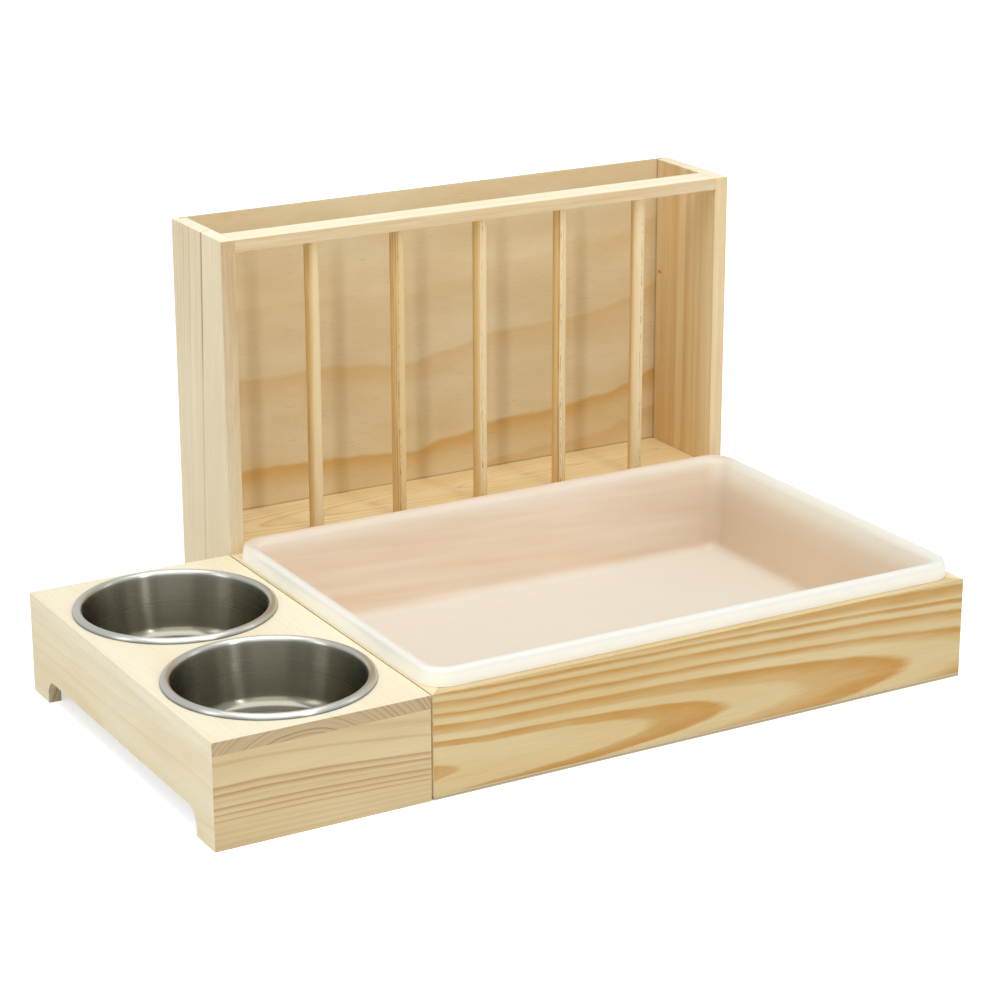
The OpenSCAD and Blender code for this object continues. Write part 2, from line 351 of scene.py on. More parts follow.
def draw_line(name, points):
    """One vertex pushed from point to point, which leaves a line of edges."""
    only(None)
    points = [Vector(p) for p in points]
    bpy.ops.mesh.primitive_plane_add(size=0.001, location=points[0])
    obj = bpy.context.object
    bpy.ops.object.mode_set(mode="EDIT")
    bpy.ops.mesh.select_mode(type="VERT")
    bpy.ops.mesh.select_all(action="SELECT")
    bpy.ops.mesh.merge(type="CENTER")
    for a, b in zip(points, points[1:]):
        bpy.ops.mesh.extrude_region_move(TRANSFORM_OT_translate={"value": b - a})
    bpy.ops.object.mode_set(mode="OBJECT")
    return settle(obj, name)


def face_up(obj, point):
    """Turns every face over if the one nearest to a point looks down."""
    nearest = min(obj.data.polygons, key=lambda p: (p.center - Vector(point)).length)
    if nearest.normal.z < 0:
        only(obj)
        bpy.ops.object.mode_set(mode="EDIT")
        bpy.ops.mesh.select_all(action="SELECT")
        bpy.ops.mesh.flip_normals()
        bpy.ops.object.mode_set(mode="OBJECT")


def spun_bowl(name, y):
    """A bowl hanging by its rolled rim."""
    wall = BOWL_RADIUS - 2 * ROLL
    floor_z = ROLL_Z + ROLL - BOWL_DEPTH
    foot = wall - LEAN
    bend = arc(foot - FLOOR_BEND, floor_z + FLOOR_BEND, FLOOR_BEND, -90, 0, 9)
    disc = 0.76 * foot
    section = [(0, floor_z + STEP), (disc - 2 * MM, floor_z + STEP), (disc - 0.6 * MM, floor_z + 0.8 * STEP)]
    section += [(disc + 0.6 * MM, floor_z + 0.2 * STEP), (disc + 2 * MM, floor_z)]
    section += [(foot - FLOOR_BEND, floor_z)]
    section += bend[1:]
    bend_top = floor_z + FLOOR_BEND
    section += [(foot + LEAN * t, bend_top + (ROLL_Z - bend_top) * t) for t in (0.3, 0.6, 0.9)]
    section += arc(wall + ROLL, ROLL_Z, ROLL, 180, 0, 16)
    bowl = draw_line(name, [(BOWL_X + r, y, z) for r, z in section])
    only(bowl)
    bpy.ops.object.mode_set(mode="EDIT")
    bpy.ops.mesh.select_all(action="SELECT")
    bpy.ops.mesh.spin(steps=128, angle=2 * math.pi, center=(BOWL_X, y, 0), axis=(0, 0, 1))
    bpy.ops.mesh.select_all(action="SELECT")
    bpy.ops.mesh.remove_doubles(threshold=1e-6)
    bpy.ops.mesh.normals_make_consistent(inside=False)
    bpy.ops.object.mode_set(mode="OBJECT")
    face_up(bowl, (BOWL_X, y, floor_z))
    apply(bowl, "SOLIDIFY", thickness=SHEET, offset=-1, use_even_offset=False)
    only(bowl)
    bpy.ops.object.shade_smooth_by_angle(angle=math.radians(50))
    return bowl


bowls = {place: spun_bowl("bowl_" + place + "_spun", y) for place, y in BOWL_YS.items()}
print("bowl faces", {p: len(b.data.polygons) for p, b in bowls.items()})

# %% [markdown]
# ## The moulded litter tray
#
# The tray is thermoformed or moulded from one sheet: a skirt that covers the frame's
# top, a soft round rim, a drafted wall, and a bend into the flat floor. Each ring of the
# tray is a plane primitive whose corners are rounded by a vertex bevel. Neighbouring
# rings are then bridged, and the sheet gets its thickness last.

# %% Rings of the tray
TRAY_X = (-146.55 * MM, 314.05 * MM)
TRAY_Y = (-205.5 * MM, 117.4 * MM)
TRAY_SEAT = 80.2 * MM
TRAY_TOP = 93.2 * MM
TRAY_FLOOR = 12.2 * MM
CREST_IN = 4.5 * MM
RIM_R = 3.5 * MM
LIP_R = 6.5 * MM
TRAY_BEND_R = 10 * MM
TRAY_WALL = 2 * MM
DRAFT = 4
CORNER_R = (20 * MM, 6 * MM)
FLOOR_IN = 25.55 * MM

skin = [(0, TRAY_SEAT)]
skin += arc(CREST_IN, TRAY_TOP - RIM_R, RIM_R, 180, 90, 7)
skin += arc(CREST_IN, TRAY_TOP - LIP_R, LIP_R, 90, DRAFT, 9)
skin += arc(FLOOR_IN, TRAY_FLOOR + TRAY_BEND_R, TRAY_BEND_R, 180 + DRAFT, 270, 8)

only(None)
bpy.ops.mesh.primitive_plane_add(size=1, location=(0, 0, 0))
tray = bpy.context.object
bpy.ops.object.mode_set(mode="EDIT")
bpy.ops.mesh.select_mode(type="VERT")
bpy.ops.mesh.select_all(action="SELECT")
bpy.ops.mesh.delete(type="VERT")
mid = ((TRAY_X[0] + TRAY_X[1]) / 2, (TRAY_Y[0] + TRAY_Y[1]) / 2)
ring_starts = []
for inset, z in skin:
    size = (TRAY_X[1] - TRAY_X[0] - 2 * inset, TRAY_Y[1] - TRAY_Y[0] - 2 * inset, 1)
    radius = CORNER_R[0] + (CORNER_R[1] - CORNER_R[0]) * inset / FLOOR_IN
    ring_starts.append(len(bmesh.from_edit_mesh(tray.data).verts))
    bpy.ops.mesh.select_all(action="DESELECT")
    bpy.ops.mesh.primitive_plane_add(size=1, location=(mid[0], mid[1], z))
    bpy.ops.transform.resize(value=size, center_override=(mid[0], mid[1], z))
    bpy.ops.mesh.bevel(offset=radius, offset_type="OFFSET", segments=10, affect="VERTICES")
    if z > TRAY_FLOOR + 1e-6:
        bpy.ops.mesh.delete(type="ONLY_FACE")
print("tray rings", len(ring_starts))

# %% Bridge the rings
bpy.ops.mesh.select_mode(type="EDGE")
ring_size = len(bmesh.from_edit_mesh(tray.data).verts) - ring_starts[-1]
for k in range(len(ring_starts) - 1):
    mesh = bmesh.from_edit_mesh(tray.data)
    first, past = ring_starts[k], ring_starts[k] + 2 * ring_size
    for item in (*mesh.faces, *mesh.edges, *mesh.verts):
        item.select_set(False)
    for edge in mesh.edges:
        in_rings = [first <= v.index < past for v in edge.verts]
        same_ring = len({(v.index - first) // ring_size for v in edge.verts}) == 1
        if all(in_rings) and same_ring:
            edge.select_set(True)
    bmesh.update_edit_mesh(tray.data)
    bpy.ops.mesh.bridge_edge_loops()
bpy.ops.mesh.select_all(action="SELECT")
bpy.ops.mesh.normals_make_consistent(inside=False)
bpy.ops.object.mode_set(mode="OBJECT")
settle(tray, "litter_tray_moulded")
face_up(tray, (mid[0], mid[1], TRAY_FLOOR))
apply(tray, "SOLIDIFY", thickness=TRAY_WALL, offset=-1, use_even_offset=True)
only(tray)
bpy.ops.object.shade_smooth_by_angle(angle=math.radians(45))
print("tray faces", len(tray.data.polygons))

# %% [markdown]
# ## Every piece on its body
#
# The CAD model says which parts move together: the tray lifts out, the bowls lift out,
# and the stand pulls away from the frame. A new piece hides the node that it stands for
# and rides on that node's body.

# %% Ride and replace
BODY_OF = {n: body for body, names in frame["record"]["behaviour"]["bodies"].items() for n in names}
RACK_SLOTS = {"rack_back_panel": "plywood", "base_panel": "plywood"}


def stands_for(piece, node, slot):
    """Hides a node, and puts its piece on the same body."""
    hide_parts(node)
    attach(piece, BODY_OF[node])


for node, board in boards.items():
    stands_for(board, node, RACK_SLOTS.get(node, node.split("_")[0] + "_pine"))
for i, bar in bars.items():
    stands_for(bar, f"hay_bar_{i}", "bar_pine")
for place, bowl in bowls.items():
    stands_for(bowl, "bowl_" + place, "bowl_steel")
stands_for(tray, "litter_tray", "milky_plastic")

# %% [markdown]
# ## A short way to write material nodes
#
# A procedural material is a small program made of nodes. The class below adds a node and
# links its inputs in one line, so that the materials further on read like the recipe of
# a finish. Numbers and colours go straight in, and other nodes' outputs are linked.
# Stripes, for example, lays light and dark bands over a distance in millimetres.


# %% Node helper
def paint(code):
    """A web colour as the linear values that a shader needs."""
    parts = [int(code[i : i + 2], 16) / 255 for i in (1, 3, 5)]
    return [p / 12.92 if p <= 0.04045 else ((p + 0.055) / 1.055) ** 2.4 for p in parts] + [1]


class Recipe:
    """The node tree of one material."""

    def __init__(self, name):
        self.material = bpy.data.materials.new(name)
        self.material.use_nodes = True
        self.tree = self.material.node_tree
        self.shader = self.tree.nodes["Principled BSDF"]

    def put(self, socket, value):
        if isinstance(value, bpy.types.NodeSocket):
            self.tree.links.new(value, socket)
        else:
            socket.default_value = value

    def add(self, kind, inputs=None, out=0, **settings):
        node = self.tree.nodes.new("ShaderNode" + kind)
        for key, value in settings.items():
            setattr(node, key, value)
        for key, value in (inputs or {}).items():
            self.put(node.inputs[key], value)
        return node.outputs[out]

    def math(self, operation, a, b=0.0, c=0.0, clamp=False):
        return self.add("Math", {0: a, 1: b, 2: c}, operation=operation, use_clamp=clamp)

    def mix(self, factor, a, b, blend="MIX"):
        return self.add(
            "Mix", {"Factor": factor, 6: a, 7: b}, out=2, data_type="RGBA", blend_type=blend
        )

    def ramp(self, factor, stops, interpolation="LINEAR"):
        """A curve through (place, height) stops, or a colour band with web colours."""
        node = self.tree.nodes.new("ShaderNodeValToRGB")
        node.color_ramp.interpolation = interpolation
        elements = node.color_ramp.elements
        while len(elements) < len(stops):
            elements.new(0.5)
        for element, stop in zip(elements, stops):
            element.position = stop[0]
        for element, (_, value) in zip(elements, stops):
            element.color = paint(value) if isinstance(value, str) else (value, value, value, 1)
        self.put(node.inputs[0], factor)
        return node.outputs[0]

    def stripes(self, reach, span, stops):
        """A ramp over a distance in millimetres, its stops in millimetres too."""
        return self.ramp(self.math("DIVIDE", reach, span), [(p / span, v) for p, v in stops])

    def away(self, a, b):
        """How far the point (a, b) lies from (0, 0)."""
        return self.math("SQRT", self.math("ADD", self.math("POWER", a, 2.0), self.math("POWER", b, 2.0)))

    def swing(self, value, amount, middle=1.0):
        """Spreads a value of 0 to 1 over an amount, half of it on each side of the middle."""
        return self.math("MULTIPLY_ADD", self.math("SUBTRACT", value, 0.5), amount, middle)

    def noise(self, vector, scale, detail=2.0, rough=0.5, out="Fac"):
        settings = {"Vector": vector, "Scale": scale, "Detail": detail, "Roughness": rough}
        return self.add("TexNoise", settings, out=out)

    def stretch(self, vector, factors):
        return self.add("VectorMath", {0: vector, 1: factors}, operation="MULTIPLY")

    def split(self, vector):
        node = self.tree.nodes.new("ShaderNodeSeparateXYZ")
        self.put(node.inputs[0], vector)
        return node.outputs

    def join(self, x, y, z):
        return self.add("CombineXYZ", {0: x, 1: y, 2: z})

    def distance(self, vector, point):
        return self.add("VectorMath", {0: vector, 1: point}, operation="DISTANCE", out="Value")

    def towards(self, axis, sign):
        """How far the surface faces to one side of an axis, from 0 to 1."""
        return self.math("MULTIPLY", self.split(self.add("TexCoord", out="Normal"))[axis], sign, clamp=True)

    def facing(self, axis):
        """How squarely the surface faces along an axis, either way, from 0 to 1."""
        normal = self.add("TexCoord", out="Normal")
        dot = self.add("VectorMath", {0: normal, 1: axis}, operation="DOT_PRODUCT", out="Value")
        return self.math("ABSOLUTE", dot)

    def shaded(self, colour, shade):
        return self.add("HueSaturation", {"Color": colour, "Value": shade})

    def bump(self, height, strength, distance=0.3 * MM):
        return self.add("Bump", {"Height": height, "Strength": strength, "Distance": distance})

    def finish(self, **sockets):
        for key, value in sockets.items():
            self.put(self.shader.inputs[key.replace("_", " ")], value)
        return self.material


def dress(mesh, material):
    """Gives a piece's mesh this one material."""
    mesh.materials.clear()
    mesh.materials.append(material)


# %% [markdown]
# ## Pine from growth rings
#
# A board is cut out of a trunk whose rings are nearly cylinders round a heart line. So
# the pattern here is a solid one: each point of the board measures its distance to that
# heart line, and a new ring begins every few millimetres. In a ring, the pale early wood
# darkens slowly to golden late wood and then starts again at once. The same recipe draws
# straight lines, flames or end-grain arcs, only by how the heart line lies.

# %% Growth rings
PALE = "#F6EBCC"
WARM = "#F1E1B8"
LATE = "#DCB36C"
STREAK_TOP = 333 * MM


def grain_space(recipe, grain, heart):
    """Millimetres along the heart line and across it, as one vector."""
    place = recipe.add("TexCoord", out="Object")
    turn = Vector(grain).to_track_quat("X", "Y" if abs(Vector(grain).normalized().z) > 0.7 else "Z")
    where = {"Vector": place, "Location": [v * MM for v in heart], "Scale": (MM, MM, MM)}
    where["Rotation"] = turn.to_euler("XYZ")
    return recipe.add("Mapping", where, vector_type="TEXTURE")


def rings(recipe, space, width, warp, seed):
    """How much late wood there is, from 0 to 1."""
    sway = recipe.noise(recipe.stretch(space, (0.004, 0.02, 0.02)), 1.0, out="Color")
    b, c = recipe.split(space)[1:]
    sway_b, sway_c = recipe.split(sway)[:2]
    reach = recipe.away(recipe.swing(sway_b, warp, b), recipe.swing(sway_c, warp, c))
    age = recipe.math("MULTIPLY_ADD", reach, 1 / width, seed)
    years = recipe.add("TexNoise", {"W": age, "Scale": 0.37, "Detail": 1.0}, noise_dimensions="1D")
    age = recipe.swing(years, 2.2, age)
    season = recipe.math("FRACT", age)
    late = recipe.ramp(season, [(0, 1), (0.09, 0.03), (0.45, 0.06), (0.75, 0.38), (0.93, 0.95), (1, 1)])
    ring = recipe.math("FLOOR", recipe.math("SUBTRACT", age, 0.1))
    strength = recipe.add("TexWhiteNoise", {"W": ring}, noise_dimensions="1D")
    return recipe.math("MULTIPLY", late, recipe.math("MULTIPLY_ADD", strength, 0.75, 0.25))


def pine(name, grain, heart, width=4.0, warp=6.0, contrast=0.5, seed=0.0, figure=None,
         pale=PALE, warm=WARM, late=LATE, end=("#E9D9B6", "#C9A26A"), front=0.0, fuzz=0.27):
    """Bare sanded pine. grain is the heart line's direction and heart a point on it, in mm."""
    recipe = Recipe(name)
    space = grain_space(recipe, grain, heart)
    end_face = recipe.ramp(recipe.facing(Vector(grain).normalized()), [(0.75, 0), (0.95, 1)])
    ring = figure(recipe) if figure else rings(recipe, space, width, warp, seed)
    amount = recipe.math("MULTIPLY", ring, contrast)
    # Front-facing faces get extra late-wood streaks, which is grain. The streaks fade towards the bottom, and
    # that fade is painted light: it lifts the lower front face brighter.
    if front:
        ahead = recipe.towards(1, -1.0)
        height = recipe.split(recipe.add("TexCoord", out="Object"))[2]
        painted_light_fade = recipe.ramp(recipe.math("DIVIDE", height, STREAK_TOP), [(0.25, 0.35), (0.9, 1)])
        patch = recipe.noise(recipe.stretch(space, (0.012, 0.35, 0.35)), 1.0)
        streaky = recipe.math("MULTIPLY_ADD", patch, front, front * 0.5)
        amount = recipe.math("MULTIPLY_ADD", recipe.math("MULTIPLY", ahead, painted_light_fade), streaky, amount)
    tone = recipe.noise(recipe.stretch(space, (0.006, 0.03, 0.03)), 1.0)
    early = recipe.mix(recipe.ramp(tone, [(0.3, 0), (0.7, 1)]), paint(pale), paint(warm))
    colour = recipe.mix(amount, early, paint(late))
    colour = recipe.mix(end_face, colour, recipe.mix(ring, paint(end[0]), paint(end[1])))
    fibre = recipe.noise(recipe.stretch(space, (0.02, 1.4, 1.4)), 1.0, detail=3.0, rough=0.6)
    fleck = recipe.ramp(recipe.noise(recipe.stretch(space, (0.07, 2.4, 2.4)), 1.0), [(0.64, 0), (0.75, 1)])
    shade = recipe.swing(fibre, fuzz)
    shade = recipe.math("SUBTRACT", shade, recipe.math("MULTIPLY", fleck, 0.08))
    colour = recipe.shaded(colour, shade)
    relief = recipe.math("MULTIPLY_ADD", fibre, 0.6, recipe.math("MULTIPLY", amount, 0.4))
    bump = recipe.bump(relief, 0.12)
    rough = recipe.math("MULTIPLY_ADD", fibre, 0.14, 0.46)
    return recipe.finish(Base_Color=colour, Roughness=rough, Normal=bump, Specular_IOR_Level=0.35)


# %% [markdown]
# ## The front board's flames
#
# The litter frame's front board was sawn almost along the trunk, so its rings open into
# long flames that point right. In trunk terms the heart line sinks away behind the board
# as one goes right: at x mm along the board it lies 4 + 0.07 x mm deep, at the height of
# the flames' tips. The rings' sizes are set one by one, because each shows.


# %% Flames
def in_mm(recipe, origin):
    """Object coordinates in millimetres from a point."""
    place = recipe.add("TexCoord", out="Object")
    where = {"Vector": place, "Location": [v * MM for v in origin], "Scale": (MM, MM, MM)}
    return recipe.add("Mapping", where, vector_type="TEXTURE")


def sway_of(recipe, vector, factors, amount, channel=0):
    """A gentle irregular shift in millimetres."""
    colour = recipe.noise(recipe.stretch(vector, factors), 1.0, detail=2.0, out="Color")
    return recipe.swing(recipe.split(colour)[channel], amount, 0.0)


FLAME_RINGS = [
    (0, 0.7), (3.6, 0.75), (4.6, 0.03), (12, 0.05), (16.6, 0.1), (17.5, 0.72), (21.2, 1), (22.1, 0.03),
    (25.6, 0.06), (27.2, 0.5), (30, 0.75), (33, 1), (34.1, 0.03), (37.5, 0.06), (39.3, 0.55),
    (41.5, 1), (42.8, 0.1), (45, 0.15), (47.5, 0.55), (50.5, 1), (51.9, 0.05), (54.5, 0.1),
    (56, 0.8), (57.3, 1), (58.6, 0.1), (60, 0.35), (62, 0.75), (66.5, 0.9), (68, 0.1),
]
HEART_DEPTH = 4.16
HEART_SLOPE = 0.071
HEART_HEIGHT = 20.5
FRONT_X = -148.25
FRONT_Y = -212


def flames(recipe):
    mm = in_mm(recipe, (FRONT_X, FRONT_Y, 0))
    x, y, z = recipe.split(mm)
    depth = recipe.math("ADD", recipe.math("MULTIPLY_ADD", x, HEART_SLOPE, HEART_DEPTH), y)
    height = recipe.math("SUBTRACT", z, HEART_HEIGHT)
    height = recipe.math("ADD", height, sway_of(recipe, mm, (0.014, 0.05, 0.05), 2.4))
    reach = recipe.away(depth, height)
    rise = recipe.math("POWER", recipe.math("MULTIPLY_ADD", x, -0.02, 1.0, clamp=True), 1.5)
    reach = recipe.math("MULTIPLY_ADD", rise, -3.0, reach)
    reach = recipe.math("ADD", reach, sway_of(recipe, mm, (0.05, 0.3, 0.3), 1.0, 1))
    late = recipe.stripes(reach, 80, FLAME_RINGS)
    patches = recipe.noise(recipe.stretch(mm, (0.018, 0.09, 0.09)), 1.0)
    late = recipe.math("MULTIPLY", late, recipe.math("MULTIPLY_ADD", patches, 0.9, 0.55), clamp=True)
    up = recipe.ramp(recipe.split(recipe.add("TexCoord", out="Normal"))[2], [(0.4, 1), (0.9, 0.15)])
    return recipe.math("MULTIPLY", late, up)


# %% [markdown]
# ## The stand's front board
#
# This board shows a row of nearly level late-wood lines that drop a little to the right.
# Each line is a stop of a ramp over the height, and the height is stretched slightly
# more the further right it is measured.

# %% Level lines
STAND_X = -315.75
SWELL_START = 25
SWELL_RUN = 141
SWELL = 0.24
STAND_LINES = [
    (0, 0.1), (4, 0.3), (5, 0.05), (8.5, 0.3), (9.5, 0.05), (13, 0.35), (14, 0.08), (17, 0.3),
    (18, 0.08), (20.5, 0.2), (21.8, 0.75), (22.8, 0.1), (25, 0.25), (26.3, 0.9), (27.4, 0.1),
    (29.5, 0.3), (31.2, 0.95), (32.4, 0.1), (36.5, 0.4), (37.5, 0.1), (39.2, 0.4), (41.2, 1),
    (42.4, 0.1), (44.5, 0.4), (46.6, 0.95), (48, 0.05), (61, 0.08), (63.5, 0.5), (65, 0.1),
    (70, 0.12), (76, 0.4), (80, 0.1),
]


def level_lines(recipe):
    mm = in_mm(recipe, (STAND_X, FRONT_Y, 0))
    x, y, z = recipe.split(mm)
    right = recipe.math("MULTIPLY_ADD", x, 1 / SWELL_RUN, -SWELL_START / SWELL_RUN, clamp=True)
    swell = recipe.math("MULTIPLY_ADD", recipe.math("POWER", right, 1.7), SWELL, 1.0)
    height = recipe.math("MULTIPLY", z, swell)
    height = recipe.math("ADD", height, sway_of(recipe, mm, (0.02, 0.08, 0.08), 1.6))
    height = recipe.math("MULTIPLY_ADD", y, 0.8, height)
    return recipe.stripes(height, 90, STAND_LINES)


# %% [markdown]
# ## The rack's two side boards
#
# The left side board has fine upright lines towards the back and one dark line that
# leans a little forwards as it rises. The right one has broad reddish bands on the face
# that looks into the rack, and one small brown knot.


# %% Upright lines and the knot
LEFT_LINES = [
    (0, 0.06), (5, 0.2), (6, 0.06), (11.4, 0.22), (12.4, 0.08), (17, 0.28), (18, 0.06), (22.8, 0.32),
    (24, 0.06), (28, 0.25), (29, 0.06), (33.8, 0.36), (34.8, 0.06), (40, 0.08), (46.8, 0.18), (48, 0.06),
    (54.4, 0.15), (55.4, 0.9), (57, 1), (57.9, 0.02), (70, 0.0), (92, 0.04),
]
RACK_BACK = 212
RACK_TOP = 332.0
LINE_LEAN = 0.045


def left_lines(recipe):
    mm = in_mm(recipe, (FRONT_X, RACK_BACK, 0))
    x, y, z = recipe.split(mm)
    from_back = recipe.math("MULTIPLY", y, -1.0)
    lean = recipe.math("MULTIPLY", recipe.math("SUBTRACT", RACK_TOP, z), LINE_LEAN)
    reach = recipe.math("ADD", recipe.math("ADD", from_back, lean), recipe.math("MULTIPLY", x, 0.6))
    reach = recipe.math("ADD", reach, sway_of(recipe, mm, (0.05, 0.05, 0.008), 2.0))
    fade = recipe.ramp(recipe.math("DIVIDE", z, RACK_TOP), [(0.1, 0.35), (0.62, 0.4), (0.75, 1)])
    return recipe.math("MULTIPLY", recipe.stripes(reach, 110, LEFT_LINES), fade)


RIGHT_BANDS = [
    (0, 0.12), (8, 0.2), (9, 0.1), (15, 0.28), (16, 0.12), (22, 0.3), (23, 0.12), (30, 0.35), (32, 0.2),
    (36, 0.3), (40, 0.75), (43.5, 0.7), (46, 0.22), (53, 0.25), (56, 0.75), (62, 0.85), (66, 0.6),
    (74, 0.55), (78, 0.75), (84, 0.5), (92, 0.7),
]
RIGHT_X = 303.75
RACK_FRONT = 120
KNOT = (0.0, 83.0, 234.0)
KNOT_SHAPE = (0.3, 0.55, 1.0)


def right_bands(recipe):
    mm = in_mm(recipe, (RIGHT_X, RACK_FRONT, 0))
    x, y, z = recipe.split(mm)
    lean = recipe.math("MULTIPLY", recipe.math("SUBTRACT", z, 200.0), 0.012)
    reach = recipe.math("ADD", recipe.math("ADD", y, lean), sway_of(recipe, mm, (0.05, 0.05, 0.008), 3.0))
    reach = recipe.math("MULTIPLY_ADD", x, 0.5, reach)
    bands = recipe.stripes(reach, 100, RIGHT_BANDS)
    knot_centre = [k * s for k, s in zip(KNOT, KNOT_SHAPE)]
    knot_at = recipe.distance(recipe.stretch(mm, KNOT_SHAPE), knot_centre)
    knot = recipe.stripes(knot_at, 4, [(0, 1), (0.88, 1), (1.8, 0)])
    fine = recipe.ramp(recipe.noise(recipe.stretch(mm, (0.3, 0.55, 0.003)), 1.0), [(0.5, 0), (0.6, 1)])
    wood = recipe.math("MULTIPLY_ADD", fine, 0.16, recipe.math("MULTIPLY", bands, 0.8))
    return recipe.math("MULTIPLY_ADD", knot, 2.2, wood)


# %% [markdown]
# ## Each board gets its own piece of the trunk
#
# No two boards show the same picture, because each has its own heart line. The rows
# below say where it lies and which way it runs. The stand's top shows its end grain on
# the front edge, where the rings make low arches.

# %% Pine materials
PALE_END = ("#FBF3D9", "#EDDDB6")
GREY_END = ("#C4AE88", "#947450")
SEED_STEP = 7.3
WOODS = {
    "stand_top": dict(grain=(0.01, 1, 0.02), heart=(-248, 0, 12), width=3.8, warp=5, contrast=0.17, fuzz=0.15,
                      pale="#F8F1D8", warm="#F4E8C8", late="#DDB06C", end=GREY_END),
    "stand_front_board": dict(grain=(1, 0, 0), heart=(0, 0, 0), contrast=0.75, figure=level_lines,
                              pale="#DECBA2", warm="#D5BE91", late="#A77A40"),
    "stand_back_board": dict(grain=(1, 0.02, 0.03), heart=(-232, 160, 10), width=4.5, contrast=0.5),
    "stand_left_side": dict(grain=(0.01, 1, -0.05), heart=(-345, 0, 20), width=9, warp=14, contrast=0.25,
                            fuzz=0.18, pale="#F4E9CB", warm="#ECDDB6"),
    "stand_right_side": dict(grain=(0.01, 1, 0.05), heart=(-110, 0, 30), width=6, contrast=0.3),
    "frame_front_board": dict(grain=(1, 0, 0), heart=(0, 0, 0), contrast=1.0, figure=flames,
                              pale="#DBC99C", warm="#D4BC86", late="#C29349"),
    "frame_back_board": dict(grain=(1, 0.05, 0.02), heart=(60, 80, 60), width=6, contrast=0.6),
    "frame_left_board": dict(grain=(0.02, 1, 0.02), heart=(-190, 0, 40), width=5, contrast=0.5),
    "frame_right_board": dict(grain=(0.05, 1, 0.01), heart=(345, 0, 30), width=6, contrast=0.6),
    "rack_left_side": dict(grain=(0, -0.045, 1), heart=(-160, 160, 0), contrast=0.8, figure=left_lines,
                           pale="#F9ECCA", warm="#F4E3BC", late="#A9793C", end=PALE_END, front=0.5),
    "rack_right_side": dict(grain=(0, 0, 1), heart=(330, 160, 0), contrast=0.75, figure=right_bands,
                            pale="#F0DDB4", warm="#EAD3A2", late="#CC994E", end=PALE_END),
    "rack_floor": dict(grain=(1, 0.03, 0.09), heart=(60, 172, 70), width=4.5, warp=9, contrast=0.6,
                       pale="#F4E3BA", warm="#EFD69F", late="#D29C55"),
    "rack_top_rail": dict(grain=(1, 0.01, 0.01), heart=(0, 230, 290), width=5, contrast=0.15,
                          pale="#FCF5D9", warm="#F9EFCB", late="#C89C5C", front=0.55),
}
for k, (node, wood) in enumerate(WOODS.items()):
    dress(boards[node].data, pine("pine_" + node, seed=k * SEED_STEP, **wood))
print("pine boards", len(WOODS))

# %% [markdown]
# ## The bars' wood
#
# A dowel is turned out of a square stick, so its straight grain shows as long thin lines.
# Seen from the camera, each bar has a golden side, a pale side and one or two dark lines
# that come and go. The golden side is grain, and the pale side is partly painted light: it
# mostly lies on the right, where the bars are lit. The pattern is measured across the bar,
# from 0 at its left to 1 at its right, and it leans a little as it rises. Short dark flecks
# sit in one narrow zone.


# %% Bar materials
BAR_MM = 11.5
BAR_SHOWN = 230
BAR_ACROSS = (0.867, -0.498)


def bar_wood(name, centre, gold_and_lit_side, lines, flecks, lean):
    recipe = Recipe(name)
    mm = in_mm(recipe, centre)
    x, y, z = recipe.split(mm)
    across = recipe.math("MULTIPLY", y, BAR_ACROSS[1] / BAR_MM)
    across = recipe.math("MULTIPLY_ADD", x, BAR_ACROSS[0] / BAR_MM, across)
    across = recipe.math("ADD", across, sway_of(recipe, mm, (0.03, 0.03, 0.007), 0.22))
    across = recipe.math("ADD", across, recipe.math("MULTIPLY_ADD", z, lean / BAR_SHOWN, 0.5))
    # Golden and pale sides across the bar: grain, with the pale right side partly painted light for the lit
    # side.
    colour = recipe.mix(recipe.ramp(across, gold_and_lit_side), paint("#EED9AD"), paint("#DDB877"))
    come = recipe.ramp(recipe.noise(recipe.stretch(mm, (0.2, 0.2, 0.018)), 1.0), [(0.38, 0.25), (0.6, 1)])
    colour = recipe.mix(recipe.math("MULTIPLY", recipe.ramp(across, lines), come), colour, paint("#AC7C3C"))
    dots = recipe.ramp(recipe.noise(recipe.stretch(mm, (1.3, 1.3, 0.14)), 1.0), [(0.52, 0), (0.62, 1)])
    zone = [(flecks - 0.07, 0), (flecks - 0.02, 1), (flecks + 0.02, 1), (flecks + 0.07, 0)]
    dark = recipe.math("MULTIPLY", recipe.math("MULTIPLY", dots, recipe.ramp(across, zone)), 0.6)
    colour = recipe.mix(dark, colour, paint("#7F6A48"))
    fibre = recipe.noise(recipe.stretch(mm, (1.4, 1.4, 0.02)), 1.0, detail=3.0, rough=0.6)
    shade = recipe.swing(fibre, 0.3)
    colour = recipe.shaded(colour, shade)
    bump = recipe.bump(fibre, 0.12)
    rough = recipe.math("MULTIPLY_ADD", fibre, 0.14, 0.46)
    return recipe.finish(Base_Color=colour, Roughness=rough, Normal=bump, Specular_IOR_Level=0.35)


